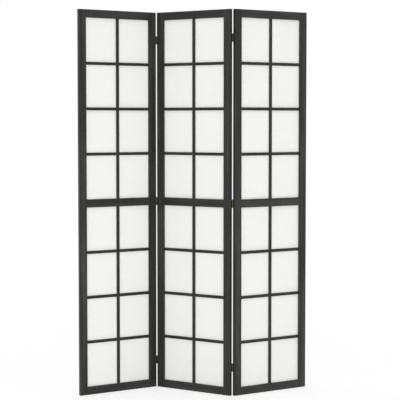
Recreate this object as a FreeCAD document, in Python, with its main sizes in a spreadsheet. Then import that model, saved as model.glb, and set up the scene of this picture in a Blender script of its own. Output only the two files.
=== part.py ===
import FreeCAD, Part
import Sketcher
import os
import re
from FreeCAD import Vector

# A shoji folding screen of three equal panels, standing in a zigzag.
#
# Frame of the model: +Z up, the floor at Z = 0, the middle panel's centre over the origin, fronts towards -Y.
# Frame of one panel: X along its width from its centre, Y from its front (-) to its back (+), Z up.
# Frame of one hinge: its middle, halfway between the two panels' edges; X and Y as on the panel.

# ------------------------------------------------------------------ driving sizes, in millimetres and degrees
SIZES = (
    ("screen_height", 1700.0, "floor to the top of a panel"),
    ("panel_width", 393.0, "one panel, edge to edge"),
    ("frame_depth", 14.5, "front to back of the frame"),
    ("stile_width", 36.0, "upright frame member, seen from the front"),
    ("rail_width", 35.5, "level frame member, seen from the front"),
    ("middle_rail_centre", 850.0, "floor to the middle of the middle rail"),
    ("edge_round", 0.8, "radius of the frame's long edges"),
    ("tenon_thickness", 5.0, "rail tenon, front to back"),
    ("tenon_length", 20.0, "rail tenon, along the rail"),
    ("tenon_shoulder", 7.0, "from the rail's edge to its tenon"),
    ("mortise_end", 0.5, "space left past the end of a tenon"),
    ("glue_gap", 0.05, "play round tenons and bars in the wood"),
    ("panes_wide", 2.0, "panes across one panel"),
    ("panes_high", 4.0, "panes in one half of a panel, one above the other"),
    ("bar_width", 13.0, "lattice bar, seen from the front"),
    ("bar_depth", 6.0, "lattice bar, front to back"),
    ("bar_setback", 3.5, "from the frame's front to the bars' front"),
    ("bar_housing", 4.0, "length of a bar's end that is let into the frame"),
    ("bar_round", 0.4, "radius of a bar's front edges"),
    ("rebate_width", 6.0, "ledge that the paper is glued to"),
    ("paper_thickness", 0.4, "paper sheet"),
    ("paper_margin", 0.5, "from the paper's edge to the wall of the rebate"),
    ("hinge_height", 36.5, "hinge plates, along the pins"),
    ("hinge_inset", 124.0, "from the end of a panel to the middle of the first hinge"),
    ("hinge_count", 3.0, "hinges on one joint"),
    ("knuckle_count", 5.0, "knuckles on one pin, link and leaf in turn"),
    ("plate_thickness", 1.0, "leaf and link plates"),
    ("plate_gap", 0.1, "between a leaf and the link that lies flat on it"),
    ("axis_proud", 1.1, "pin's axis, out from the face of the panel"),
    ("pin_radius", 0.75, "hinge pin"),
    ("pin_play", 0.05, "radial play of the pin in the knuckles"),
    ("pin_head_radius", 1.3, "closed-over end of the pin"),
    ("pin_head_height", 0.6, "closed-over end of the pin"),
    ("knuckle_radius", 1.8, "outside of the rolled knuckle"),
    ("knuckle_clear", 0.3, "from a knuckle to the edge of a plate that turns past it"),
    ("knuckle_play", 0.2, "between two knuckles, along the pin"),
    ("screw_radius", 1.1, "shank of the leaf's screws"),
    ("screw_head_radius", 1.9, "top of the countersunk head"),
    ("screw_head_sunk", 0.1, "head below the face of the leaf"),
    ("screw_length", 12.0, "screw, head and point included"),
    ("screw_point", 2.5, "pointed end of the screw"),
    ("screw_spacing", 12.0, "from one screw of a leaf to the next"),
    ("screw_play", 0.05, "play round the screw in the leaf and the wood"),
    ("screw_slot_width", 0.5, "driver's slot in the head"),
    ("screw_slot_depth", 0.4, "driver's slot in the head"),
    ("fold_angle", 66.8, "turn of each joint away from flat, as the screen stands"),
)
VALUES = {alias: value for alias, value, meaning in SIZES}
PANES_WIDE = int(VALUES["panes_wide"])
PANES_HIGH = int(VALUES["panes_high"])
HINGE_COUNT = int(VALUES["hinge_count"])
KNUCKLE_COUNT = int(VALUES["knuckle_count"])

# ------------------------------------------------------------------ places that several pieces share
FRONT = "(-frame_depth / 2)"
BAR_FRONT = f"({FRONT} + bar_setback)"
BAR_MIDDLE = f"({BAR_FRONT} + bar_depth / 2)"
PAPER_FRONT = f"({BAR_FRONT} + bar_depth)"
REBATE_DEPTH = f"(frame_depth / 2 - {PAPER_FRONT})"
OPENING_WIDTH = "(panel_width - 2 * stile_width)"
PANE_WIDTH = f"({OPENING_WIDTH} / panes_wide)"
HALVES = (
    ("lower", "rail_width", "(middle_rail_centre - 1.5 * rail_width)"),
    ("upper", "(middle_rail_centre + rail_width / 2)",
     "(screen_height - middle_rail_centre - 1.5 * rail_width)"),
)
RAILS = (
    ("bottom", "0", ("above",)),
    ("middle", "(middle_rail_centre - rail_width / 2)", ("below", "above")),
    ("top", "(screen_height - rail_width)", ("below",)),
)
HINGE_SPACE = "(3 * plate_thickness + 2 * plate_gap)"
HINGE_LOW = "(hinge_inset - hinge_height / 2)"
HINGE_RUN = "(screen_height - 2 * hinge_inset)"
AXIS = "(frame_depth / 2 + axis_proud)"
PLATE_REACH = f"({AXIS} - knuckle_radius - knuckle_clear)"
KNUCKLE_PITCH = "(hinge_height / knuckle_count)"
PIN_BORE = "(pin_radius + pin_play)"
SCREW_BORE = "(screw_radius + screw_play)"
LEAN = "(fold_angle / 2 * 1 deg)"
JOINT_ALONG = f"((panel_width + {HINGE_SPACE}) / 2)"
PANEL_STEP = f"(2 * {JOINT_ALONG} * cos({LEAN}) + 2 * {AXIS} * sin({LEAN}))"

# Each panel: its name, its place in the row and the way that it leans off the row.
PANELS = (("left_panel", -1, 1), ("centre_panel", 0, -1), ("right_panel", 1, 1))
# Each joint: its name, the panel whose right edge it is on and the panel whose left edge it is on.
JOINTS = (("left_hinges", PANELS[0], PANELS[1]), ("right_hinges", PANELS[1], PANELS[2]))

PAD = "PartDesign::Pad"
POCKET = "PartDesign::Pocket"

doc = FreeCAD.newDocument("shoji_screen")
sheet = doc.addObject("Spreadsheet::Sheet", "Sizes")
for row, (alias, value, meaning) in enumerate(SIZES, start=1):
    sheet.set(f"A{row}", alias)
    sheet.set(f"B{row}", str(value))
    sheet.set(f"C{row}", meaning)
    sheet.setAlias(f"B{row}", alias)
doc.recompute()

pieces = []
masters = {}


def bind(item, setting, formula):
    """Tie one setting to a formula that is written with the sheet's words."""
    words = re.sub(r"[a-z_]+", lambda word: "Sizes." + word[0] if word[0] in VALUES else word[0], formula)
    item.setExpression(setting, words)


def place(item, panel, along="0", across="0", up="0", turned="0"):
    """Put a piece into the model by its place on one panel."""
    station, lean = panel[1:]
    angle = f"({lean} * {LEAN})"
    x = f"{station} * {PANEL_STEP} + {along} * cos({angle}) - {across} * sin({angle})"
    y = f"{along} * sin({angle}) + {across} * cos({angle})"
    turn = f"rotation(vector(0; 0; 1); {angle} + {turned} * 1 deg)"
    bind(item, "Placement", f"placement(vector({x}; {y}; {up}); {turn})")


def make_piece(name, kind, build):
    """One sub-part. The first of its kind is built, and the others are clones of that one."""
    body = doc.addObject("PartDesign::Body", name)
    body.Label = name
    pieces.append(body)
    if kind in masters:
        base = body.newObject("PartDesign::FeatureBase", "same_as_first")
        base.BaseFeature = masters[kind]
        body.Tip = base
        return body
    build(body)
    masters[kind] = body
    return body


def own_datum(body, role):
    """One of the body's own planes or axes."""
    return [datum for datum in body.Origin.OriginFeatures if datum.Role == role][0]


def new_sketch(body, name, plane, offset):
    """An empty sketch on one of the body's planes, moved by an offset of three formulas."""
    sketch = body.newObject("Sketcher::SketchObject", name + "_sketch")
    sketch.AttachmentSupport = [(own_datum(body, plane), "")]
    sketch.MapMode = "FlatFace"
    for axis, formula in zip("xyz", offset):
        bind(sketch, f"AttachmentOffset.Base.{axis}", formula)
    return sketch


def polygon(sketch, corners):
    """Closed straight outline through corners given as pairs of formulas, none of them negative."""
    start = [Vector(10.0 * index, 5.0 * index * index, 0) for index in range(len(corners))]
    count = len(corners)
    sketch.addGeometry([Part.LineSegment(start[i], start[(i + 1) % count]) for i in range(count)], False)
    ties = [Sketcher.Constraint("Coincident", i, 2, (i + 1) % count, 1) for i in range(count)]
    for index, point in enumerate(start):
        ties.append(Sketcher.Constraint("DistanceX", -1, 1, index, 1, point.x))
        ties.append(Sketcher.Constraint("DistanceY", -1, 1, index, 1, point.y))
    sketch.addConstraint(ties)
    for index, corner in enumerate(corners):
        for way, formula in enumerate(corner):
            bind(sketch, f"Constraints[{count + 2 * index + way}]", formula)


def circle(sketch, radius, centre=("0", "0")):
    """Circle of a bound radius about a bound centre."""
    made = sketch.addGeometry(Part.Circle(Vector(1, 1, 0), Vector(0, 0, 1), 1.0), False)
    ties = sketch.addConstraint([
        Sketcher.Constraint("DistanceX", -1, 1, made, 3, 1.0),
        Sketcher.Constraint("DistanceY", -1, 1, made, 3, 1.0),
        Sketcher.Constraint("Radius", made, 1.0),
    ])
    for tie, formula in zip(ties, (*centre, radius)):
        bind(sketch, f"Constraints[{tie}]", formula)


def raised(body, name, kind, sketch, length):
    """Pad or pocket a level sketch upwards by a length."""
    feature = body.newObject(kind, name)
    feature.Profile = sketch
    feature.Reversed = kind == POCKET
    bind(feature, "Length", length)
    sketch.Visibility = False
    return feature


def block(body, name, low, size, kind=PAD):
    """Box added to a body or cut from it: its lowest corner and its three sides."""
    sketch = new_sketch(body, name, "XY_Plane", low)
    polygon(sketch, (("0", "0"), (size[0], "0"), (size[0], size[1]), ("0", size[1])))
    return raised(body, name, kind, sketch, size[2])


def post(body, name, centre, low, radius, height, kind=PAD):
    """Upright cylinder added to a body or cut from it."""
    sketch = new_sketch(body, name, "XY_Plane", (centre[0], centre[1], low))
    circle(sketch, radius)
    return raised(body, name, kind, sketch, height)


def row_of(body, name, source, axis, count, run):
    """Repeat one cut evenly along an axis of the body."""
    if count < 2:
        return
    pattern = body.newObject("PartDesign::LinearPattern", name)
    pattern.Originals = [source]
    pattern.Direction = (own_datum(body, axis), [""])
    pattern.Occurrences = count
    bind(pattern, "Length", run)
    body.Tip = pattern


def copies(body, name, count, run):
    """Repeat the whole body evenly upwards, as separate solids."""
    whole = body.Tip
    pattern = body.newObject("PartDesign::LinearPattern", name)
    pattern.BaseFeature = whole
    pattern.TransformMode = "Whole shape"
    pattern.Direction = (own_datum(body, "Z_Axis"), [""])
    pattern.Occurrences = count
    bind(pattern, "Length", run)
    body.Tip = pattern


def round_edges(body, base, radius, way=None, front_only=False):
    """Ease the straight edges of a blank: all of them, or those along one direction."""
    doc.recompute()
    chosen = []
    for number, edge in enumerate(base.Shape.Edges, start=1):
        along = edge.tangentAt(edge.FirstParameter)
        wanted = way is None or abs(along.dot(way)) > 0.999
        if wanted and not (front_only and edge.CenterOfMass.y > base.Shape.BoundBox.Center.y):
            chosen.append(f"Edge{number}")
    fillet = body.newObject("PartDesign::Fillet", "eased_edges")
    fillet.Base = (base, chosen)
    bind(fillet, "Radius", radius)
    return fillet


# ------------------------------------------------------------------ frame of a panel
def inward(side, length):
    """Lowest X of a cut that goes a length into a stile from its inner face."""
    if side < 0:
        return f"(-panel_width / 2 + stile_width - {length})"
    return "(panel_width / 2 - stile_width)"


def shape_stile(body, side, hinged):
    """Upright frame member with its mortises, rebates, bar housings and screw holes."""
    low_x = "(-panel_width / 2)" if side < 0 else "(panel_width / 2 - stile_width)"
    blank = block(body, "blank", (low_x, FRONT, "0"), ("stile_width", "frame_depth", "screen_height"))
    round_edges(body, blank, "edge_round")
    depth = "(tenon_length + mortise_end)"
    for rail, rail_low, openings in RAILS:
        low = (inward(side, depth), "(-tenon_thickness / 2 - glue_gap)",
               f"({rail_low} + tenon_shoulder - glue_gap)")
        size = (depth, "(tenon_thickness + 2 * glue_gap)",
                "(rail_width - 2 * tenon_shoulder + 2 * glue_gap)")
        block(body, f"{rail}_mortise", low, size, POCKET)
    for half, low_z, height in HALVES:
        block(body, f"{half}_rebate",
              (inward(side, "rebate_width"), PAPER_FRONT, f"({low_z} - rebate_width)"),
              ("rebate_width", REBATE_DEPTH, f"({height} + 2 * rebate_width)"), POCKET)
        pitch = f"({height} / panes_high)"
        housing = block(body, f"{half}_housing",
                        (inward(side, "bar_housing"), f"({BAR_FRONT} - glue_gap)",
                         f"({low_z} + {pitch} - bar_width / 2 - glue_gap)"),
                        ("bar_housing", "(bar_depth + glue_gap)", "(bar_width + 2 * glue_gap)"), POCKET)
        row_of(body, f"{half}_housings", housing, "Z_Axis", PANES_HIGH - 1, f"(panes_high - 2) * {pitch}")
    if hinged:
        screw_holes(body, side)


def screw_holes(body, side):
    """Blind holes in a stile's outer edge for the screws of the hinge leaves."""
    sketch = new_sketch(body, "pilot", "YZ_Plane", ("0", "0", f"{side} * panel_width / 2"))
    for number in (-1, 0, 1):
        circle(sketch, SCREW_BORE, ("0", f"(hinge_inset + {number} * screw_spacing)"))
    holes = body.newObject(POCKET, "pilot_holes")
    holes.Profile = sketch
    holes.Reversed = side < 0
    bind(holes, "Length", "(screw_length - plate_thickness + screw_head_sunk + mortise_end)")
    sketch.Visibility = False
    row_of(body, "pilot_rows", holes, "Z_Axis", HINGE_COUNT, HINGE_RUN)


def shape_rail(body, low_z, openings):
    """Level frame member with a tenon at each end, its rebates and its bar housings."""
    blank = block(body, "blank", (f"(-{OPENING_WIDTH} / 2)", FRONT, low_z),
                  (OPENING_WIDTH, "frame_depth", "rail_width"))
    round_edges(body, blank, "edge_round", Vector(1, 0, 0))
    block(body, "tenons",
          (f"(-{OPENING_WIDTH} / 2 - tenon_length)", "(-tenon_thickness / 2)", f"({low_z} + tenon_shoulder)"),
          (f"({OPENING_WIDTH} + 2 * tenon_length)", "tenon_thickness", "(rail_width - 2 * tenon_shoulder)"))
    for opening in openings:
        above = opening == "above"
        rebate_low = f"({low_z} + rail_width - rebate_width)" if above else low_z
        housing_low = f"({low_z} + rail_width - bar_housing)" if above else low_z
        block(body, f"rebate_{opening}", (f"(-{OPENING_WIDTH} / 2)", PAPER_FRONT, rebate_low),
              (OPENING_WIDTH, REBATE_DEPTH, "rebate_width"), POCKET)
        housing = block(body, f"housing_{opening}",
                        (f"(-{OPENING_WIDTH} / 2 + {PANE_WIDTH} - bar_width / 2 - glue_gap)",
                         f"({BAR_FRONT} - glue_gap)", housing_low),
                        ("(bar_width + 2 * glue_gap)", "(bar_depth + glue_gap)", "bar_housing"), POCKET)
        row_of(body, f"housings_{opening}", housing, "X_Axis", PANES_WIDE - 1,
               f"(panes_wide - 2) * {PANE_WIDTH}")


# ------------------------------------------------------------------ lattice and paper of a panel
def shape_upright_bar(body, low_z, height):
    """Lattice bar from rail to rail, halved from the back where the cross bars pass."""
    blank = block(body, "blank", ("(-bar_width / 2)", BAR_FRONT, f"({low_z} - bar_housing + glue_gap)"),
                  ("bar_width", "bar_depth", f"({height} + 2 * bar_housing - 2 * glue_gap)"))
    round_edges(body, blank, "bar_round", Vector(0, 0, 1), front_only=True)
    pitch = f"({height} / panes_high)"
    lap = block(body, "lap",
                ("(-bar_width / 2)", BAR_MIDDLE, f"({low_z} + {pitch} - bar_width / 2 - glue_gap)"),
                ("bar_width", "(bar_depth / 2)", "(bar_width + 2 * glue_gap)"), POCKET)
    row_of(body, "laps", lap, "Z_Axis", PANES_HIGH - 1, f"(panes_high - 2) * {pitch}")


def shape_cross_bar(body):
    """Lattice bar from stile to stile, halved from the front where the upright bars pass."""
    blank = block(body, "blank",
                  (f"(-{OPENING_WIDTH} / 2 - bar_housing + glue_gap)", BAR_FRONT, "(-bar_width / 2)"),
                  (f"({OPENING_WIDTH} + 2 * bar_housing - 2 * glue_gap)", "bar_depth", "bar_width"))
    round_edges(body, blank, "bar_round", Vector(1, 0, 0), front_only=True)
    lap = block(body, "lap",
                (f"(-{OPENING_WIDTH} / 2 + {PANE_WIDTH} - bar_width / 2 - glue_gap)", BAR_FRONT,
                 "(-bar_width / 2)"),
                ("(bar_width + 2 * glue_gap)", "(bar_depth / 2)", "bar_width"), POCKET)
    row_of(body, "laps", lap, "X_Axis", PANES_WIDE - 1, f"(panes_wide - 2) * {PANE_WIDTH}")


def make_paper(panel, half, low_z, height):
    """Sheet glued to the ledge of the rebates and to the backs of the bars."""
    name = f"{panel[0]}_{half}_paper"
    paper = doc.addObject("Part::Box", name)
    paper.Label = name
    pieces.append(paper)
    reach = "(rebate_width - paper_margin)"
    bind(paper, "Length", f"({OPENING_WIDTH} + 2 * {reach})")
    bind(paper, "Width", "paper_thickness")
    bind(paper, "Height", f"({height} + 2 * {reach})")
    place(paper, panel, f"(-{OPENING_WIDTH} / 2 - {reach})", PAPER_FRONT, f"({low_z} - {reach})")


# ------------------------------------------------------------------ two-way hinges
def add_knuckles(body, turns, sides, web_from, web_to, low_x):
    """Rolled knuckles about the pins, each with the web that joins it to its plate."""
    for turn in turns:
        low = f"({HINGE_LOW} + {turn} * {KNUCKLE_PITCH} + knuckle_play / 2)"
        height = f"({KNUCKLE_PITCH} - knuckle_play)"
        block(body, f"web_{turn}", (low_x, web_from, low),
              ("plate_thickness", f"({web_to} - {web_from})", height))
        for side in sides:
            post(body, f"knuckle_{turn}", ("0", f"({side} * {AXIS})"), low, "knuckle_radius", height)
    for side in sides:
        post(body, "bore", ("0", f"({side} * {AXIS})"), f"({HINGE_LOW} - knuckle_play)", PIN_BORE,
             "(hinge_height + 2 * knuckle_play)", POCKET)


def shape_leaves(body):
    """Flat plates for one edge of a panel, with countersunk holes and knuckles on the front pin."""
    low_x = f"(-{HINGE_SPACE} / 2)"
    block(body, "plate", (low_x, f"(-{PLATE_REACH})", HINGE_LOW),
          ("plate_thickness", f"(2 * {PLATE_REACH})", "hinge_height"))
    add_knuckles(body, range(1, KNUCKLE_COUNT, 2), (-1,), f"(-{AXIS})", f"(-{PLATE_REACH})", low_x)
    sketch = new_sketch(body, "screw", "YZ_Plane", ("0", "0", f"({low_x} + plate_thickness)"))
    for number in (-1, 0, 1):
        circle(sketch, SCREW_BORE, ("0", f"(hinge_inset + {number} * screw_spacing)"))
    doc.recompute()
    holes = body.newObject("PartDesign::Hole", "screw_holes")
    holes.Profile = sketch
    holes.DepthType = "ThroughAll"
    holes.HoleCutType = "Countersink"
    holes.HoleCutCountersinkAngle = 90
    bind(holes, "Diameter", f"(2 * {SCREW_BORE})")
    bind(holes, "HoleCutDiameter", "(2 * (screw_head_radius + screw_head_sunk + screw_play))")
    sketch.Visibility = False
    copies(body, "leaves", HINGE_COUNT, HINGE_RUN)


def shape_links(body):
    """The middle plates, with knuckles on both pins."""
    low_x = "(-plate_thickness / 2)"
    block(body, "plate", (low_x, f"(-{PLATE_REACH})", HINGE_LOW),
          ("plate_thickness", f"(2 * {PLATE_REACH})", "hinge_height"))
    add_knuckles(body, range(0, KNUCKLE_COUNT, 2), (-1, 1), f"(-{AXIS})", AXIS, low_x)
    copies(body, "links", HINGE_COUNT, HINGE_RUN)


def shape_pins(body):
    """Pins with both ends closed over."""
    post(body, "shank", ("0", "0"), HINGE_LOW, "pin_radius", "hinge_height")
    ends = (("lower", f"({HINGE_LOW} - pin_head_height)"), ("upper", f"({HINGE_LOW} + hinge_height)"))
    for end, low in ends:
        post(body, f"{end}_head", ("0", "0"), low, "pin_head_radius", "pin_head_height")
    copies(body, "pins", HINGE_COUNT, HINGE_RUN)


def shape_screws(body):
    """Countersunk screws of the leaves on one edge, plain where the thread would be."""
    face = f"(-{HINGE_SPACE} / 2 + plate_thickness - screw_head_sunk)"
    lowest = "(hinge_inset - screw_spacing)"
    sketch = new_sketch(body, "profile", "XY_Plane", (f"({face} - screw_length)", "0", lowest))
    polygon(sketch, (("0", "0"), ("screw_length", "0"), ("screw_length", "screw_head_radius"),
                     ("(screw_length - screw_head_radius + screw_radius)", "screw_radius"),
                     ("screw_point", "screw_radius")))
    screw = body.newObject("PartDesign::Revolution", "screw")
    screw.Profile = sketch
    screw.ReferenceAxis = (sketch, ["H_Axis"])
    screw.Angle = 360
    sketch.Visibility = False
    block(body, "slot", (f"({face} - screw_slot_depth)", "(-screw_head_radius)",
                         f"({lowest} - screw_slot_width / 2)"),
          ("(screw_slot_depth + screw_play)", "(2 * screw_head_radius)", "screw_slot_width"), POCKET)
    copies(body, "screws_of_one_leaf", 3, "(2 * screw_spacing)")
    copies(body, "screws", HINGE_COUNT, HINGE_RUN)


# ------------------------------------------------------------------ the whole screen
def make_panel(panel, hinged_sides):
    """All the pieces of one panel."""
    name = panel[0]
    for side, word in ((-1, "left"), (1, "right")):
        hinged = side in hinged_sides
        place(make_piece(f"{name}_{word}_stile", ("stile", side, hinged),
                         lambda body: shape_stile(body, side, hinged)), panel)
    for rail, low_z, openings in RAILS:
        place(make_piece(f"{name}_{rail}_rail", rail, lambda body: shape_rail(body, low_z, openings)), panel)
    for half, low_z, height in HALVES:
        for number in range(1, PANES_WIDE):
            mark = "" if PANES_WIDE == 2 else f"_{number}"
            bar = make_piece(f"{name}_{half}_upright_bar{mark}", (half, "upright bar"),
                             lambda body: shape_upright_bar(body, low_z, height))
            place(bar, panel, f"(-{OPENING_WIDTH} / 2 + {number} * {PANE_WIDTH})")
        for number in range(1, PANES_HIGH):
            bar = make_piece(f"{name}_{half}_cross_bar_{number}", "cross bar", shape_cross_bar)
            place(bar, panel, up=f"({low_z} + {number} * {height} / panes_high)")
        make_paper(panel, half, low_z, height)


def make_joint(name, left, right, linked):
    """The hinges between two panels. The links lie on the edge of the panel named linked."""
    link_along = JOINT_ALONG if linked is left else f"(-{JOINT_ALONG})"
    edges = (("front", left, JOINT_ALONG, "0"), ("back", right, f"(-{JOINT_ALONG})", "180"))
    for pin, panel, along, turned in edges:
        place(make_piece(f"{name}_{pin}_pin_leaves", "leaves", shape_leaves), panel, along, turned=turned)
        place(make_piece(f"{name}_{pin}_leaf_screws", "screws", shape_screws), panel, along, turned=turned)
    place(make_piece(f"{name}_links", "links", shape_links), linked, link_along)
    for pin, side in (("front", -1), ("back", 1)):
        place(make_piece(f"{name}_{pin}_pins", "pins", shape_pins), linked, link_along, f"({side} * {AXIS})")


def check(item):
    """Stop if an object failed to build or has no sound shape."""
    if "Invalid" in item.State or "Error" in item.State:
        raise RuntimeError(f"{item.Label}: {item.State}")
    if item in pieces and (item.Shape.isNull() or not item.Shape.isValid() or not item.Shape.Solids):
        raise RuntimeError(f"{item.Label}: no sound shape")


for panel, hinged_sides in zip(PANELS, ((1,), (-1, 1), (-1,))):
    make_panel(panel, hinged_sides)
for joint, left, right in JOINTS:
    make_joint(joint, left, right, PANELS[1])
doc.recompute()

for item in doc.Objects:
    check(item)
os.makedirs("parts", exist_ok=True)
for piece in pieces:
    piece.Shape.exportStep(f"parts/{piece.Label}.step")
print(len(pieces), "pieces written")
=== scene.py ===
"""The looks of a shoji folding screen: stained frames, paper-backed lattices and two-way hinges.

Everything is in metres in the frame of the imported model: the floor at Z = 0, the fronts towards -Y.
A panel has axes of its own, along its width, through its depth and up, with their origin on the
floor under its middle. The patterns of a finish are in millimetres.
"""

import logging
import math
from collections.abc import Iterator
from dataclasses import dataclass, field
from enum import Enum

import bmesh
import bpy
from mathutils import Matrix, Vector, noise


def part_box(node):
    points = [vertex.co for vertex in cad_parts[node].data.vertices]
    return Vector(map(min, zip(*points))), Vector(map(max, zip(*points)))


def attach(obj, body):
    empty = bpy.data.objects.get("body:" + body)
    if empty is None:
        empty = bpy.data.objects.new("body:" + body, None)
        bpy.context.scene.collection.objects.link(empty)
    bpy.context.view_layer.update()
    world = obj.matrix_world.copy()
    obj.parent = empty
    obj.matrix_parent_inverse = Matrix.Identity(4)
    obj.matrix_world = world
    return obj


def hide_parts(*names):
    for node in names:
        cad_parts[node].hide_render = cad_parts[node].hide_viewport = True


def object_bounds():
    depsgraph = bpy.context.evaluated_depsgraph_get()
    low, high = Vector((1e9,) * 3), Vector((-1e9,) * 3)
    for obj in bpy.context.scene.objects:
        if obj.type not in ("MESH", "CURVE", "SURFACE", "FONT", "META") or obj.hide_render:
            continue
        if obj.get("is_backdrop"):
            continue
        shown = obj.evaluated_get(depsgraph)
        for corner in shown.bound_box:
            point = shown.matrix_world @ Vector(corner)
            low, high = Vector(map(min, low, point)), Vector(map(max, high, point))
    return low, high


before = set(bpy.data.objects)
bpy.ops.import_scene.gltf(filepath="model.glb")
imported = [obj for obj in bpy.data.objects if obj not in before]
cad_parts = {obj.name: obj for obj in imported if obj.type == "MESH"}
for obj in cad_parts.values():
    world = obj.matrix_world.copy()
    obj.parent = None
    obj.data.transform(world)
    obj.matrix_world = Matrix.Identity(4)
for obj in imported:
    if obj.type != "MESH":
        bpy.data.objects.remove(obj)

LOG = logging.getLogger("folding_screen")
MM = 0.001
WHITE = "#ffffff"
WAVE_REPEAT = 0.1 * math.pi           # from one crest of a wave texture to the next, at scale 1
EVEN_STEP = 0.618034                  # the golden ratio's fraction: steps of it spread evenly

Socket = bpy.types.NodeSocket
Value = float | tuple[float, ...] | Socket


class Grain(Enum):
    """The way that the fibres of a board run in its panel."""

    UPRIGHT = "upright"
    LEVEL = "level"


class Half(Enum):
    """The part of a panel above or below its middle rail."""

    LOWER = "lower"
    UPPER = "upper"


class Row(Enum):
    """One of the two rows of pins in a joint between panels."""

    FRONT = "front"
    BACK = "back"


# ----------------------------------------------------------------------------------- shared helpers
def linear(colour: str) -> tuple[float, float, float, float]:
    """Turn an sRGB colour into linear light.

    Args:
        colour: The colour as a hash and six hex digits.

    Returns:
        Red, green, blue and a full alpha.
    """
    levels = [int(colour[i:i + 2], 16) / 255 for i in (1, 3, 5)]
    red, green, blue = (
        level / 12.92 if level <= 0.04045 else ((level + 0.055) / 1.055) ** 2.4 for level in levels)
    return red, green, blue, 1.0


def add_node(tree: bpy.types.NodeTree, kind: str, inputs: dict[str | int, Value] | None = None,
             **settings: object) -> bpy.types.Node:
    """Add one node with its settings, its values and its links.

    Args:
        tree: The node tree that it goes into.
        kind: The node's type name, without the words ShaderNode.
        inputs: A value, or a socket to link from, for each input by name or number.
        **settings: The node's own properties.

    Returns:
        The new node.
    """
    node = tree.nodes.new("ShaderNode" + kind)
    for name, setting in settings.items():
        setattr(node, name, setting)
    for name, value in (inputs or {}).items():
        if isinstance(value, Socket):
            tree.links.new(value, node.inputs[name])
        else:
            node.inputs[name].default_value = value
    return node


def new_material(name: str) -> tuple[bpy.types.Material, bpy.types.NodeTree]:
    """Make a material with an empty node tree.

    Args:
        name: The material's name.

    Returns:
        The material and its tree.
    """
    material = bpy.data.materials.new(name)
    material.use_nodes = True
    material.node_tree.nodes.clear()
    return material, material.node_tree


def dress(piece: bpy.types.Object, material: bpy.types.Material) -> None:
    """Give a piece one material in every slot.

    Args:
        piece: The piece.
        material: Its material.
    """
    if not piece.material_slots:
        piece.data.materials.append(material)
    for slot in piece.material_slots:
        slot.material = material


# ------------------------------------------------------------------------------------------- places
@dataclass(frozen=True)
class Axes:
    """Where a panel, or one of its boards, stands in the model."""

    origin: Vector
    lean: float

    @property
    def matrix(self) -> Matrix:
        """The turn and move from these axes to the model's."""
        return Matrix.Translation(self.origin) @ Matrix.Rotation(self.lean, 4, "Z")

    def extent(self, node: str) -> tuple[Vector, Vector]:
        """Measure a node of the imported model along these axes.

        Args:
            node: The node's name.

        Returns:
            Its lowest and its highest corner.
        """
        inward = self.matrix.inverted()
        corners = [inward @ vertex.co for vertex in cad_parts[node].data.vertices]
        low = Vector(min(c[i] for c in corners) for i in range(3))
        high = Vector(max(c[i] for c in corners) for i in range(3))
        return low, high

    def turn(self, grain: Grain) -> tuple[float, float, float]:
        """Angles that lay a pattern's Z along the grain and its Y through the board's depth.

        Args:
            grain: The way that the fibres run.

        Returns:
            Turns about X, Y and Z in radians.
        """
        width = Vector((math.cos(self.lean), math.sin(self.lean), 0.0))
        depth = Vector((-math.sin(self.lean), math.cos(self.lean), 0.0))
        along = width if grain is Grain.LEVEL else Vector((0.0, 0.0, 1.0))
        return tuple(Matrix((depth.cross(along), depth, along)).transposed().to_euler())


@dataclass(frozen=True)
class Board:
    """One piece of wood: where it stands, how its grain runs, and its place in the log."""

    axes: Axes
    grain: Grain
    heart: tuple[float, float, float]  # mm from the heart of the tree


# ----------------------------------------------------------------------------------------- finishes
@dataclass(frozen=True)
class Strands:
    """Threads of one width in the wood, drawn out along its grain."""

    width: float                      # mm across the grain
    length: float                     # along the grain, in widths
    span: tuple[float, float]         # the noise that gives none, and the noise that gives all


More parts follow.
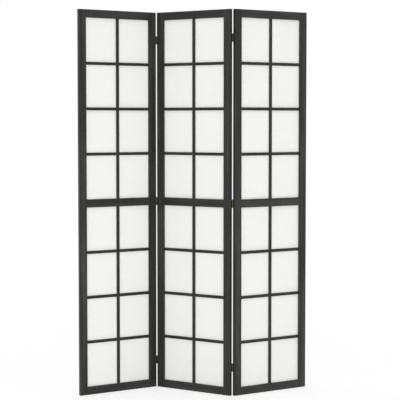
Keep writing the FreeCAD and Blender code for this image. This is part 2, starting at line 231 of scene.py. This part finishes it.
@dataclass(frozen=True)
class StainedSoftwood:
    """Planed softwood, black water stain, satin lacquer.

    The stain soaks into the soft early wood and leaves the hard late wood a shade lighter, so faint
    streaks run along each board, with short dark pores between them. The lacquer is thin: fibres
    still show in the gloss, and arrises and end grain take it unevenly.
    """

    early: str = "#0b0b0a"
    late: str = "#373630"
    pore: str = "#080807"
    arris: str = "#34322e"
    end: str = "#0e0e0d"
    ring_pitch: float = 6.0           # mm between two year rings
    ring_slowness: float = 0.03       # how fast a ring's waves change along the log, across being 1
    ring_share: float = 0.3           # how much of the late wood's tone the rings alone give
    streaks: Strands = Strands(9.0, 25.0, (0.43, 0.63))    # of late wood
    patches: Strands = Strands(45.0, 3.0, (0.3, 0.7))      # where the stain took more or less
    fibres: Strands = Strands(0.8, 45.0, (0.32, 0.68))     # real ones, 0.03 mm, wouldn't show
    pores: Strands = Strands(0.35, 22.0, (0.58, 0.7))      # real ones, 0.1 mm, wouldn't show
    fibre_tone: tuple[float, float] = (0.25, 0.9)          # late tone between and on the fibres
    uptake: tuple[float, float] = (0.5, 1.3)               # how light the patches leave the wood
    wander: float = 7.0               # mm that the grain strays to the side
    wander_size: float = 24.0         # mm across the grain from one bend to the next
    wander_length: float = 12.5       # along the grain, in sizes
    end_dulling: float = 0.3          # how much rougher the thirsty end grain is
    relief: float = 0.06              # mm that the fibres stand up
    pore_depth: float = 1.5           # in reliefs
    roughness: tuple[float, float] = (0.35, 0.51)          # between the fibres, and on them
    ior: float = 1.46                 # of the lacquer

    def material(self, name: str, board: Board) -> bpy.types.Material:
        """Make the finish for one board.

        Args:
            name: The material's name.
            board: Where the board stands, and the part of the log that it shows.

        Returns:
            The material.
        """
        material, tree = new_material(name)
        turn = board.axes.turn(board.grain)
        seen = add_node(tree, "TexCoord")
        place = add_node(tree, "Mapping", {
            "Vector": seen.outputs["Object"], "Location": tuple(board.axes.origin),
            "Rotation": turn, "Scale": (MM, MM, MM)}, vector_type="TEXTURE")
        log = add_node(tree, "Mapping", {
            "Vector": place.outputs["Vector"], "Location": board.heart})
        strayed = self._strayed(tree, log.outputs["Vector"])
        fibres = self._drawn_out(tree, strayed, self.fibres)
        pores = self._drawn_out(tree, strayed, self.pores)
        ends, arrises = self._edges(tree, seen.outputs["Normal"], turn, fibres)
        colour = self._colour(tree, strayed, fibres, pores)
        for share, tone in ((arrises, self.arris), (ends, self.end)):
            colour = add_node(tree, "Mix", {"Factor": share, "A": colour, "B": linear(tone)},
                              data_type="RGBA").outputs[2]
        gloss = add_node(tree, "MapRange", {
            "Value": fibres, "To Min": self.roughness[0], "To Max": self.roughness[1]})
        dulled = add_node(tree, "Math", {0: ends, 1: self.end_dulling, 2: gloss.outputs["Result"]},
                          operation="MULTIPLY_ADD")
        open_pores = add_node(tree, "Math", {0: pores, 1: -self.pore_depth, 2: fibres},
                              operation="MULTIPLY_ADD")
        bump = add_node(tree, "Bump", {
            "Strength": 0.4, "Distance": self.relief * MM, "Height": open_pores.outputs["Value"]})
        shader = add_node(tree, "BsdfPrincipled", {
            "Base Color": colour, "Roughness": dulled.outputs["Value"], "IOR": self.ior,
            "Normal": bump.outputs["Normal"]})
        add_node(tree, "OutputMaterial", {"Surface": shader.outputs["BSDF"]})
        return material

    def _strayed(self, tree: bpy.types.NodeTree, place: Socket) -> Socket:
        """Let the grain wander to the sides along the board.

        Args:
            tree: The material's node tree.
            place: A place in the log, in millimetres.

        Returns:
            The place that the grain is looked up at.
        """
        slow = add_node(tree, "VectorMath", {0: place, 1: (1.0, 1.0, 1 / self.wander_length)},
                        operation="MULTIPLY")
        drift = add_node(tree, "TexNoise", {
            "Vector": slow.outputs["Vector"], "Scale": 1 / self.wander_size, "Detail": 2.0})
        level = add_node(tree, "VectorMath", {0: drift.outputs["Color"], 1: (0.5, 0.5, 0.5)},
                         operation="SUBTRACT")
        moved = add_node(tree, "VectorMath", {
            0: level.outputs["Vector"], 1: (self.wander, self.wander, 0.0), 2: place},
            operation="MULTIPLY_ADD")
        return moved.outputs["Vector"]

    def _rings(self, tree: bpy.types.NodeTree, place: Socket) -> Socket:
        """Draw the year rings about the heart.

        Args:
            tree: The material's node tree.
            place: A place in the log, in millimetres.

        Returns:
            0 in the early wood, rising to 1 in a thin line of late wood.
        """
        drawn = add_node(tree, "VectorMath", {0: place, 1: (1.0, 1.0, self.ring_slowness)},
                         operation="MULTIPLY")
        wave = add_node(tree, "TexWave", {
            "Vector": drawn.outputs["Vector"], "Scale": WAVE_REPEAT / self.ring_pitch,
            "Distortion": 3.0, "Detail": 3.0, "Detail Scale": 0.5, "Detail Roughness": 0.65},
            wave_type="RINGS", rings_direction="Z", wave_profile="SIN")
        late = add_node(tree, "MapRange", {
            "Value": wave.outputs["Fac"], "From Min": 0.45, "From Max": 1.0},
            interpolation_type="SMOOTHSTEP")
        return late.outputs["Result"]

    def _drawn_out(self, tree: bpy.types.NodeTree, place: Socket, strands: Strands) -> Socket:
        """Make noise that is drawn out along the grain.

        Args:
            tree: The material's node tree.
            place: A place in the log, in millimetres.
            strands: The size of the noise, and which part of it counts.

        Returns:
            The noise, from 0 to 1.
        """
        low, high = strands.span
        drawn = add_node(tree, "VectorMath", {0: place, 1: (1.0, 1.0, 1 / strands.length)},
                         operation="MULTIPLY")
        found = add_node(tree, "TexNoise", {
            "Vector": drawn.outputs["Vector"], "Scale": 0.5 / strands.width, "Detail": 3.0,
            "Roughness": 0.55})
        return add_node(tree, "MapRange", {
            "Value": found.outputs["Fac"], "From Min": low, "From Max": high}).outputs["Result"]

    def _edges(self, tree: bpy.types.NodeTree, normal: Socket, turn: tuple[float, float, float],
               fibres: Socket) -> tuple[Socket, Socket]:
        """Find the board's ends, and its rounded arrises where the lacquer is thin.

        Args:
            tree: The material's node tree.
            normal: The way that the surface faces, in the model's axes.
            turn: The angles of the board's own axes.
            fibres: The pattern of the fibres.

        Returns:
            How much of an end, and how much of a worn arris, each point is.
        """
        turned = add_node(tree, "VectorRotate", {"Vector": normal, "Rotation": turn},
                          rotation_type="EULER_XYZ", invert=True)
        sides = add_node(tree, "VectorMath", {0: turned.outputs["Vector"]}, operation="ABSOLUTE")
        parts = add_node(tree, "SeparateXYZ", {0: sides.outputs["Vector"]})
        ends = add_node(tree, "MapRange", {
            "Value": parts.outputs["Z"], "From Min": 0.85, "From Max": 0.98})
        level = add_node(tree, "Math", {0: parts.outputs["X"], 1: parts.outputs["Y"]},
                         operation="MAXIMUM")
        flat = add_node(tree, "Math", {0: level.outputs["Value"], 1: parts.outputs["Z"]},
                        operation="MAXIMUM")
        arrises = add_node(tree, "MapRange", {
            "Value": flat.outputs["Value"], "From Min": 0.97, "From Max": 0.75})
        worn = add_node(tree, "Math", {0: arrises.outputs["Result"], 1: fibres},
                        operation="MULTIPLY")
        return ends.outputs["Result"], worn.outputs["Value"]

    def _colour(self, tree: bpy.types.NodeTree, place: Socket, fibres: Socket,
                pores: Socket) -> Socket:
        """Mix the stain's colours by the grain, and vary how much of it was taken up.

        Args:
            tree: The material's node tree.
            place: Where the grain is looked up, in millimetres.
            fibres: The pattern of the fibres.
            pores: The pattern of the pores.

        Returns:
            The colour.
        """
        rings = self._rings(tree, place)
        streaks = self._drawn_out(tree, place, self.streaks)
        patches = self._drawn_out(tree, place, self.patches)
        lighter = add_node(tree, "Math", {0: rings, 1: self.ring_share, 2: streaks},
                           operation="MULTIPLY_ADD")
        threads = add_node(tree, "MapRange", {
            "Value": fibres, "To Min": self.fibre_tone[0], "To Max": self.fibre_tone[1]})
        shown = add_node(tree, "Math", {0: lighter.outputs["Value"], 1: threads.outputs["Result"]},
                         operation="MULTIPLY", use_clamp=True)
        mixed = add_node(tree, "Mix", {
            "Factor": shown.outputs["Value"], "A": linear(self.early), "B": linear(self.late)},
            data_type="RGBA")
        taken = add_node(tree, "MapRange", {
            "Value": patches, "To Min": self.uptake[0], "To Max": self.uptake[1]})
        varied = add_node(tree, "VectorMath", {
            0: mixed.outputs[2], "Scale": taken.outputs["Result"]}, operation="SCALE")
        return add_node(tree, "Mix", {
            "Factor": pores, "A": varied.outputs["Vector"], "B": linear(self.pore)},
            data_type="RGBA").outputs[2]


@dataclass(frozen=True)
class ShojiPaper:
    """White long-fibre paper, matt.

    Light passes through it and spreads, so it glows evenly. Held near, it shows cloudy pulp and
    pale stray fibres.
    """

    pulp: str = "#f8f8f7"
    fibre: str = "#f0f0ed"
    fibre_cell: float = 16.0          # mm between two stray fibres
    fibre_width: float = 0.35         # mm; real ones are a third of this and wouldn't show
    curl_size: float = 9.0            # mm from one bend of a fibre to the next
    gap_size: float = 13.0            # mm from one break between fibres to the next
    cloud_size: float = 14.0          # mm, clumps of pulp
    relief: float = 0.1               # mm that the fibres and the pulp stand up
    through: float = 0.4              # share of the light that passes to the other side
    roughness: float = 0.9
    sheen: float = 0.2                # fibres scatter what a smooth sheet would mirror

    def material(self, name: str, axes: Axes) -> bpy.types.Material:
        """Make the finish for one sheet.

        Args:
            name: The material's name.
            axes: Where the sheet stands.

        Returns:
            The material.
        """
        material, tree = new_material(name)
        seen = add_node(tree, "TexCoord")
        place = add_node(tree, "Mapping", {
            "Vector": seen.outputs["Object"], "Location": tuple(axes.origin),
            "Rotation": axes.turn(Grain.UPRIGHT), "Scale": (MM, MM, MM)}, vector_type="TEXTURE")
        clouds = add_node(tree, "TexNoise", {
            "Vector": place.outputs["Vector"], "Scale": 1 / self.cloud_size, "Detail": 4.0,
            "Roughness": 0.6})
        fibres = self._fibres(tree, place.outputs["Vector"])
        colour = add_node(tree, "Mix", {
            "Factor": fibres, "A": linear(self.pulp), "B": linear(self.fibre)}, data_type="RGBA")
        dense = add_node(tree, "MapRange", {
            "Value": clouds.outputs["Fac"], "From Min": 0.3, "From Max": 0.7, "To Min": 0.98,
            "To Max": 1.0})
        shade = add_node(tree, "VectorMath", {
            0: colour.outputs[2], "Scale": dense.outputs["Result"]}, operation="SCALE")
        height = add_node(tree, "Math", {0: fibres, 1: clouds.outputs["Fac"]}, operation="ADD")
        bump = add_node(tree, "Bump", {
            "Strength": 0.25, "Distance": self.relief * MM, "Height": height.outputs["Value"]})
        front = add_node(tree, "BsdfPrincipled", {
            "Base Color": shade.outputs["Vector"], "Roughness": self.roughness,
            "Specular IOR Level": self.sheen, "Normal": bump.outputs["Normal"]})
        behind = add_node(tree, "BsdfTranslucent", {
            "Color": shade.outputs["Vector"], "Normal": bump.outputs["Normal"]})
        both = add_node(tree, "MixShader", {
            0: self.through, 1: front.outputs["BSDF"], 2: behind.outputs["BSDF"]})
        add_node(tree, "OutputMaterial", {"Surface": both.outputs["Shader"]})
        return material

    def _fibres(self, tree: bpy.types.NodeTree, place: Socket) -> Socket:
        """Draw stray curved hairs, which are pieces of the thin borders between wandering cells.

        Args:
            tree: The material's node tree.
            place: A place on the sheet, in millimetres.

        Returns:
            1 along the middle of a hair, falling to 0 beside it.
        """
        drift = add_node(tree, "TexNoise", {
            "Vector": place, "Scale": 1 / self.curl_size, "Detail": 1.0})
        bent = add_node(tree, "VectorMath", {
            0: drift.outputs["Color"], 1: (self.fibre_cell / 2,) * 3, 2: place},
            operation="MULTIPLY_ADD")
        cells = add_node(tree, "TexVoronoi", {
            "Vector": bent.outputs["Vector"], "Scale": 1 / self.fibre_cell},
            feature="DISTANCE_TO_EDGE")
        hair = add_node(tree, "MapRange", {
            "Value": cells.outputs["Distance"], "From Min": self.fibre_width / self.fibre_cell,
            "From Max": 0.0})
        parted = add_node(tree, "TexNoise", {
            "Vector": place, "Scale": 1 / self.gap_size, "Detail": 2.0})
        kept = add_node(tree, "MapRange", {
            "Value": parted.outputs["Fac"], "From Min": 0.5, "From Max": 0.62})
        shown = add_node(tree, "Math", {0: hair.outputs["Result"], 1: kept.outputs["Result"]},
                         operation="MULTIPLY")
        return shown.outputs["Value"]


@dataclass(frozen=True)
class DarkMetal:
    """Sheet or wire metal under a dark bronze patina or plating.

    A thin dark skin over bright metal: cloudy where it took unevenly, with rub marks along the sheet,
    and lighter on the knuckles about given pins: partly wear where hands and the other leaves touch,
    partly painted light on the barrels.
    """

    skin: str
    # the bare metal's colour, shown for wear and for the painted light on the knuckles
    rubbed_and_lit: str
    cloud_size: float = 7.0           # mm, patches of thicker and thinner skin
    rub_width: float = 0.35           # mm; real rub marks are finer and wouldn't show
    rub_length: float = 25.0          # along the sheet, in widths
    patchy: tuple[float, float] = (-0.2, 0.35)             # wear where the skin is whole, and thin
    relief: float = 0.02              # mm that the rub marks are deep
    wear_and_light_reach: float = 2.6           # mm from a pin's axis
    wear_and_light_core: float = 0.7            # share of that reach within which the wear and the painted light are full
    wear_and_light_most: float = 0.8            # the full share of wear and painted light
    roughness: float = 0.4

    def material(self, name: str, pins: list[Vector]) -> bpy.types.Material:
        """Make the finish.

        Args:
            name: The material's name.
            pins: A point on the axis of each pin that the metal is lighter about, partly wear and
                partly painted light.

        Returns:
            The material.
        """
        material, tree = new_material(name)
        seen = add_node(tree, "TexCoord")
        place = add_node(tree, "Mapping", {
            "Vector": seen.outputs["Object"], "Scale": (MM, MM, MM)}, vector_type="TEXTURE")
        clouds = add_node(tree, "TexNoise", {
            "Vector": place.outputs["Vector"], "Scale": 1 / self.cloud_size, "Detail": 4.0,
            "Roughness": 0.6})
        drawn = add_node(tree, "VectorMath", {
            0: place.outputs["Vector"], 1: (1.0, 1.0, 1 / self.rub_length)}, operation="MULTIPLY")
        rubs = add_node(tree, "TexNoise", {
            "Vector": drawn.outputs["Vector"], "Scale": 0.5 / self.rub_width, "Detail": 2.0})
        both = add_node(tree, "Math", {0: clouds.outputs["Fac"], 1: rubs.outputs["Fac"]},
                        operation="MULTIPLY")
        patches = add_node(tree, "MapRange", {
            "Value": both.outputs["Value"], "From Min": 0.15, "From Max": 0.4,
            "To Min": self.patchy[0], "To Max": self.patchy[1]})
        worn = patches.outputs["Result"]
        # Lighter metal about each pin given: partly wear, partly painted light on the barrels.
        for pin in pins:
            worn = self._wear_and_light_about(tree, seen.outputs["Object"], pin, worn)
        colour = add_node(tree, "Mix", {
            "Factor": worn, "A": linear(self.skin), "B": linear(self.rubbed_and_lit)}, data_type="RGBA")
        gloss = add_node(tree, "MapRange", {
            "Value": rubs.outputs["Fac"], "To Min": self.roughness - 0.1,
            "To Max": self.roughness + 0.12})
        bump = add_node(tree, "Bump", {
            "Strength": 0.2, "Distance": self.relief * MM, "Height": rubs.outputs["Fac"]})
        shader = add_node(tree, "BsdfPrincipled", {
            "Base Color": colour.outputs[2], "Metallic": 1.0, "Roughness": gloss.outputs["Result"],
            "Normal": bump.outputs["Normal"]})
        add_node(tree, "OutputMaterial", {"Surface": shader.outputs["BSDF"]})
        return material

    def _wear_and_light_about(self, tree: bpy.types.NodeTree, place: Socket, pin: Vector,
                    worn: Socket) -> Socket:
        """Add the lighter knuckles about one pin, partly wear and partly painted light, to the wear
        so far.

        Args:
            tree: The material's node tree.
            place: A place on the metal, in metres.
            pin: A point on the pin's axis.
            worn: The wear so far.

        Returns:
            The share of the bare metal's colour, wear and painted light together, from 0 for skin to
            1 for bare metal.
        """
        reach = self.wear_and_light_reach * MM
        level = add_node(tree, "VectorMath", {0: place, 1: (1.0, 1.0, 0.0)}, operation="MULTIPLY")
        away = add_node(tree, "VectorMath", {0: level.outputs["Vector"], 1: (pin.x, pin.y, 0.0)},
                        operation="DISTANCE")
        near = add_node(tree, "MapRange", {
            "Value": away.outputs["Value"], "From Min": reach, "From Max": self.wear_and_light_core * reach,
            "To Max": self.wear_and_light_most})
        total = add_node(tree, "Math", {0: near.outputs["Result"], 1: worn}, operation="ADD")
        return total.outputs["Value"]


# --------------------------------------------------------------------------------------- the screen
@dataclass
class Panel:
    """One leaf of the screen: a frame, its lattice in two halves, and paper behind each."""

    name: str
    cross_bars: int = 3               # in one half
    grid_pitch: float = 7 * MM        # size of one face of the modelled sheets
    cockle: float = 0.35 * MM         # how far the paper swells from flat inside one pane
    cockle_size: float = 55 * MM      # from one swelling to the next
    heart_near: tuple[float, float] = (25.0, 15.0)         # mm from the heart, least, both ways
    heart_far: tuple[float, float] = (70.0, 55.0)          # mm from the heart, most, both ways
    log_step: float = 900.0           # mm along the log from one board to the next
    axes: Axes = field(init=False)

    def __post_init__(self) -> None:
        """Find where the panel stands from its two stiles."""
        left, right = (
            sum(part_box(f"{self.name}_{side}_stile"), Vector()) / 2 for side in ("left", "right"))
        across = right - left
        middle = (left + right) / 2
        self.axes = Axes(Vector((middle.x, middle.y, 0.0)), math.atan2(across.y, across.x))

    def boards(self) -> Iterator[tuple[str, Grain]]:
        """Name every wooden piece with the way that its grain runs.

        Yields:
            The node's name and its grain.
        """
        for side in ("left", "right"):
            yield f"{self.name}_{side}_stile", Grain.UPRIGHT
        for rail in ("bottom", "middle", "top"):
            yield f"{self.name}_{rail}_rail", Grain.LEVEL
        for half in Half:
            yield f"{self.name}_{half.value}_upright_bar", Grain.UPRIGHT
            for number in range(1, self.cross_bars + 1):
                yield f"{self.name}_{half.value}_cross_bar_{number}", Grain.LEVEL

    def dress_wood(self, frame_finish: StainedSoftwood, bar_finish: StainedSoftwood,
                   first: int) -> int:
        """Stain every wooden piece, each cut from its own place in the log.

        Args:
            frame_finish: The finish of the stiles and rails.
            bar_finish: The finish of the lattice's bars.
            first: The number of boards dressed before this panel.

        Returns:
            The number of boards dressed so far.
        """
        count = first
        for node, grain in self.boards():
            middle = sum(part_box(node), Vector()) / 2
            board = Board(Axes(middle, self.axes.lean), grain, self._heart(count))
            finish = bar_finish if "_bar" in node else frame_finish
            dress(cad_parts[node], finish.material(f"stained_softwood_{node}", board))
            count += 1
            LOG.info("stained %s", node)
        return count

    def _heart(self, count: int) -> tuple[float, float, float]:
        """Choose how far from the heart of the tree a board was sawn, unlike its neighbours.

        Args:
            count: The board's number.

        Returns:
            From the heart of the tree to the board's middle: across the grain, through the depth
            and along the grain.
        """
        share = (count * EVEN_STEP) % 1.0
        across = self.heart_near[0] + (self.heart_far[0] - self.heart_near[0]) * share
        depth = self.heart_far[1] - (self.heart_far[1] - self.heart_near[1]) * share
        return across, depth, self.log_step * count

    def make_sheet(self, half: Half, finish: ShojiPaper) -> bpy.types.Object:
        """Model the paper behind one half, glued to its bars and to the frame's ledge.

        Args:
            half: The half of the panel.
            finish: The paper's finish.

        Returns:
            The sheet.
        """
        node = f"{self.name}_{half.value}_paper"
        low, high = self.axes.extent(node)
        size = high - low
        columns, rows = (round(side / self.grid_pitch) for side in (size.x, size.z))
        mesh = bmesh.new()
        bmesh.ops.create_grid(mesh, x_segments=columns, y_segments=rows, size=0.5)
        bmesh.ops.scale(mesh, vec=(size.x, size.z, 1.0), verts=mesh.verts)
        bmesh.ops.rotate(mesh, matrix=Matrix.Rotation(math.pi / 2, 3, "X"), verts=mesh.verts)
        middle = (low + high) / 2
        bmesh.ops.translate(mesh, vec=(middle.x, high.y, middle.z), verts=mesh.verts)
        across, upwards = self._glue_lines(half)
        for vertex in mesh.verts:
            vertex.co.y += self.cockle * self._slack(vertex.co, across, upwards)
        bmesh.ops.solidify(mesh, geom=mesh.faces[:], thickness=size.y)
        bmesh.ops.transform(mesh, matrix=self.axes.matrix, verts=mesh.verts)
        data = bpy.data.meshes.new(f"{node}_sheet")
        mesh.to_mesh(data)
        mesh.free()
        data.shade_smooth()
        sheet = bpy.data.objects.new(f"{node}_sheet", data)
        bpy.context.scene.collection.objects.link(sheet)
        place = Axes(self.axes.matrix @ middle, self.axes.lean)
        dress(sheet, finish.material(f"shoji_{node}", place))
        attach(sheet, self.name)
        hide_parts(node)
        self._carriers(half)
        LOG.info("made %s, %.1f by %.1f mm", sheet.name, size.x / MM, size.z / MM)
        return sheet

    def _frame_about(self, half: Half) -> tuple[str, str, str, str]:
        """Name the frame's pieces about one half.

        Args:
            half: The half of the panel.

        Returns:
            The nodes of the left stile, the right stile, the rail below and the rail above.
        """
        rails = ("bottom", "middle") if half is Half.LOWER else ("middle", "top")
        parts = ("left_stile", "right_stile", *(f"{rail}_rail" for rail in rails))
        return tuple(f"{self.name}_{part}" for part in parts)

    def _carriers(self, half: Half) -> list[str]:
        """Name the pieces that one sheet is glued to.

        Args:
            half: The half of the panel.

        Returns:
            The nodes of the bars and of the frame's pieces.
        """
        start = f"{self.name}_{half.value}_"
        bars = [node for node, _ in self.boards() if node.startswith(start)]
        return bars + list(self._frame_about(half))

    def _glue_lines(self, half: Half) -> tuple[list[float], list[float]]:
        """Find where the wood in front of a sheet ends and begins again.

        Args:
            half: The half of the panel.

        Returns:
            The edges of the open panes across the panel, and upwards, each pane's two in turn.
        """
        bar = self.axes.extent(f"{self.name}_{half.value}_upright_bar")
        frame_about = [self.axes.extent(node) for node in self._frame_about(half)]
        left, right = frame_about[0][1].x, frame_about[1][0].x
        below, above = frame_about[2][1].z, frame_about[3][0].z
        upwards = [below]
        for number in range(1, self.cross_bars + 1):
            low, high = self.axes.extent(f"{self.name}_{half.value}_cross_bar_{number}")
            upwards += [low.z, high.z]
        return [left, bar[0].x, bar[1].x, right], [*upwards, above]

    def _slack(self, point: Vector, across: list[float], upwards: list[float]) -> float:
        """Find how far the paper strays from flat: not on the glue, most in the middle of a pane.

        Args:
            point: A point of the sheet, in the panel's axes.
            across: The edges of the panes across the panel.
            upwards: The edges of the panes upwards.

        Returns:
            How far, from -1 to 1.
        """
        free = 1.0
        for place, lines in ((point.x, across), (point.z, upwards)):
            panes = [pane for pane in zip(lines[::2], lines[1::2]) if pane[0] < place < pane[1]]
            if not panes:
                return 0.0
            start, end = panes[0]
            free *= math.sin(math.pi * (place - start) / (end - start))
        return math.sqrt(free) * noise.noise((point + self.axes.origin) / self.cockle_size)


@dataclass
class Hinges:
    """The three two-way hinges of one joint: leaves on both panels, links, pins and screws."""

    name: str
    rubbed_and_lit_row: Row                   # where the knuckles of the links are lighter: partly wear, partly painted light on that barrel

    def _axis(self, row: Row) -> Vector:
        """A point on the axis of one row of pins."""
        return sum(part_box(f"{self.name}_{row.value}_pins"), Vector()) / 2

    def dress(self, front_plate_painted_shade: DarkMetal, link_plate: DarkMetal, back_plate_painted_light: DarkMetal,
              pin: DarkMetal, screw: DarkMetal) -> None:
        """Give the plates, the pins and the screws their finishes.

        Args:
            front_plate_painted_shade: Finish of the leaves on the front pins, the same patinated
                brass painted darker: painted shade.
            link_plate: Finish of the links.
            back_plate_painted_light: Finish of the leaves on the back pins, the same patinated brass
                painted lighter: painted light where the fold shades them.
            pin: Finish of the pins.
            screw: Finish of the screws.
        """
        front, back = ([self._axis(row)] for row in Row)
        # The links are painted lighter about one row of pins only: partly wear, partly painted light.
        rubbed_and_lit = front if self.rubbed_and_lit_row is Row.FRONT else back
        # The leaves on the front pins are painted darker and those on the back pins lighter than one
        # brass: painted shade and painted light.
        finishes = {
            "front_pin_leaves": (front_plate_painted_shade, "patinated_brass_painted_light_and_shade", front),
            "back_pin_leaves": (back_plate_painted_light, "patinated_brass_painted_light_and_shade", back),
            "links": (link_plate, "patinated_brass_painted_light_and_shade", rubbed_and_lit),
            "front_pins": (pin, "plated_steel_wire", front),
            "back_pins": (pin, "plated_steel_wire", back),
            "front_leaf_screws": (screw, "plated_steel_screw", []),
            "back_leaf_screws": (screw, "plated_steel_screw", []),
        }
        for part, (finish, kind, wear_and_light_about) in finishes.items():
            node = f"{self.name}_{part}"
            dress(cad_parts[node], finish.material(f"{kind}_{node}", wear_and_light_about))
            LOG.info("finished %s", node)


# --------------------------------------------------------------------------------------- the studio
@dataclass
class Studio:
    """A white room, evenly lit, one wide lamp low in front, and the camera."""

    room_light: float = 1.0
    floor_size: float = 30.0
    shadow: float = 0.35              # how much of the floor's own shading shows through its white
    lamp_power: float = 24.3          # watts, about a fifth of the light on the paper
    lamp_size: tuple[float, float] = (2.2, 0.6)
    lamp_place: tuple[float, float, float] = (-0.1, -3.2, 0.35)
    camera_place: tuple[float, float, float] = (0.0404, -6.0269, 1.2119)
    camera_aim: tuple[float, float, float] = (0.0271, 0.0, 0.8607)
    lens: float = 121.66              # mm
    sensor: float = 36.0              # mm wide

    def build(self, height: float) -> None:
        """Make the room, the floor, the lamp and the camera.

        Args:
            height: How tall the screen is.
        """
        self._light_room()
        self._lay_floor()
        self._stand_lamp(Vector((0.0, 0.0, height / 2)))
        self._place_camera()

    def _seen_directly(self, tree: bpy.types.NodeTree) -> Socket:
        """Tell rays that show the room from those that light things.

        Args:
            tree: The node tree of a material or of the world.

        Returns:
            1 for rays from the camera, from gloss and through glass, and 0 for the rest.
        """
        path = add_node(tree, "LightPath")
        first = add_node(tree, "Math", {
            0: path.outputs["Is Camera Ray"], 1: path.outputs["Is Glossy Ray"]},
            operation="MAXIMUM")
        every = add_node(tree, "Math", {
            0: first.outputs["Value"], 1: path.outputs["Is Transmission Ray"]},
            operation="MAXIMUM")
        return every.outputs["Value"]

    def _light_room(self) -> None:
        """Light everything evenly, and show white where the room itself is seen."""
        world = bpy.data.worlds.new("white_room")
        world.use_nodes = True
        world.node_tree.nodes.clear()
        tree = world.node_tree
        light = add_node(tree, "Background", {"Color": linear(WHITE), "Strength": self.room_light})
        shown = add_node(tree, "Background", {"Color": linear(WHITE), "Strength": 1.0})
        mixed = add_node(tree, "MixShader", {
            0: self._seen_directly(tree), 1: light.outputs["Background"],
            2: shown.outputs["Background"]})
        add_node(tree, "OutputWorld", {"Surface": mixed.outputs["Shader"]})
        bpy.context.scene.world = world

    def _lay_floor(self) -> None:
        """Lay a plain pale floor that keeps a faint shadow."""
        mesh = bmesh.new()
        bmesh.ops.create_grid(mesh, x_segments=1, y_segments=1, size=self.floor_size / 2)
        data = bpy.data.meshes.new("studio_floor")
        mesh.to_mesh(data)
        mesh.free()
        floor = bpy.data.objects.new("studio_floor", data)
        bpy.context.scene.collection.objects.link(floor)
        material, tree = new_material("pale_painted_floor")
        paint = add_node(tree, "BsdfDiffuse", {"Color": linear(WHITE)})
        glow = add_node(tree, "Emission", {"Color": linear(WHITE), "Strength": 1.0})
        share = add_node(tree, "Math", {
            0: self._seen_directly(tree), 1: 1.0 - self.shadow}, operation="MULTIPLY")
        mixed = add_node(tree, "MixShader", {
            0: share.outputs["Value"], 1: paint.outputs["BSDF"], 2: glow.outputs["Emission"]})
        add_node(tree, "OutputMaterial", {"Surface": mixed.outputs["Shader"]})
        dress(floor, material)
        floor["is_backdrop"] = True

    def _stand_lamp(self, aim: Vector) -> None:
        """Stand one wide lamp low in front, which makes up for the shade at the foot of the screen.

        Args:
            aim: The point that the lamp faces.
        """
        data = bpy.data.lights.new("soft_lamp", "AREA")
        data.shape = "RECTANGLE"
        data.size, data.size_y = self.lamp_size
        data.energy = self.lamp_power
        lamp = bpy.data.objects.new("soft_lamp", data)
        lamp.location = self.lamp_place
        lamp.rotation_euler = (aim - lamp.location).to_track_quat("-Z", "Y").to_euler()
        bpy.context.scene.collection.objects.link(lamp)

    def _place_camera(self) -> None:
        """Stand the camera where the photograph was taken from."""
        data = bpy.data.cameras.new("camera")
        data.sensor_width = self.sensor
        data.lens = self.lens
        camera = bpy.data.objects.new("camera", data)
        camera.location = self.camera_place
        way = Vector(self.camera_aim) - camera.location
        camera.rotation_euler = way.to_track_quat("-Z", "Y").to_euler()
        bpy.context.scene.collection.objects.link(camera)
        bpy.context.scene.camera = camera


def main() -> None:
    """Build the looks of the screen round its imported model."""
    logging.basicConfig(level=logging.INFO, format="%(name)s: %(message)s")
    scene = bpy.context.scene
    scene.view_settings.view_transform = "Standard"
    cad_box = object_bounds()
    Studio().build(cad_box[1].z)
    wood = StainedSoftwood()
    # The bars are sawn from closer-grained wood, which took more stain.
    fine_wood = StainedSoftwood(
        early="#090908", late="#22211d", ring_pitch=3.0, streaks=Strands(5.0, 25.0, (0.43, 0.63)))
    paper = ShojiPaper()
    boards = 0
    for name in ("left_panel", "centre_panel", "right_panel"):
        panel = Panel(name)
        boards = panel.dress_wood(wood, fine_wood, boards)
        for half in Half:
            panel.make_sheet(half, paper)
    # One patinated brass in three tones: the front leaves painted darker as shade, the back leaves
    # painted lighter as light in the folds, the links between.
    front_plate_painted_shade = DarkMetal(skin="#38362f", rubbed_and_lit="#403d33")
    link_plate = DarkMetal(skin="#504d45", rubbed_and_lit="#7a7462")
    back_plate_painted_light = DarkMetal(skin="#656259", rubbed_and_lit="#7f7a68")
    pin = DarkMetal(skin="#57544d", rubbed_and_lit="#726d60", roughness=0.32)
    screw = DarkMetal(skin="#504e48", rubbed_and_lit="#767168", roughness=0.36)
    # The links' knuckles are lighter about the front pins of one joint and the back pins of the
    # other: partly wear, partly painted light.
    for name, row in (("left_hinges", Row.FRONT), ("right_hinges", Row.BACK)):
        Hinges(name, row).dress(front_plate_painted_shade, link_plate, back_plate_painted_light, pin, screw)
    LOG.info("%d boards dressed", boards)


if __name__ == "__main__":
    main()
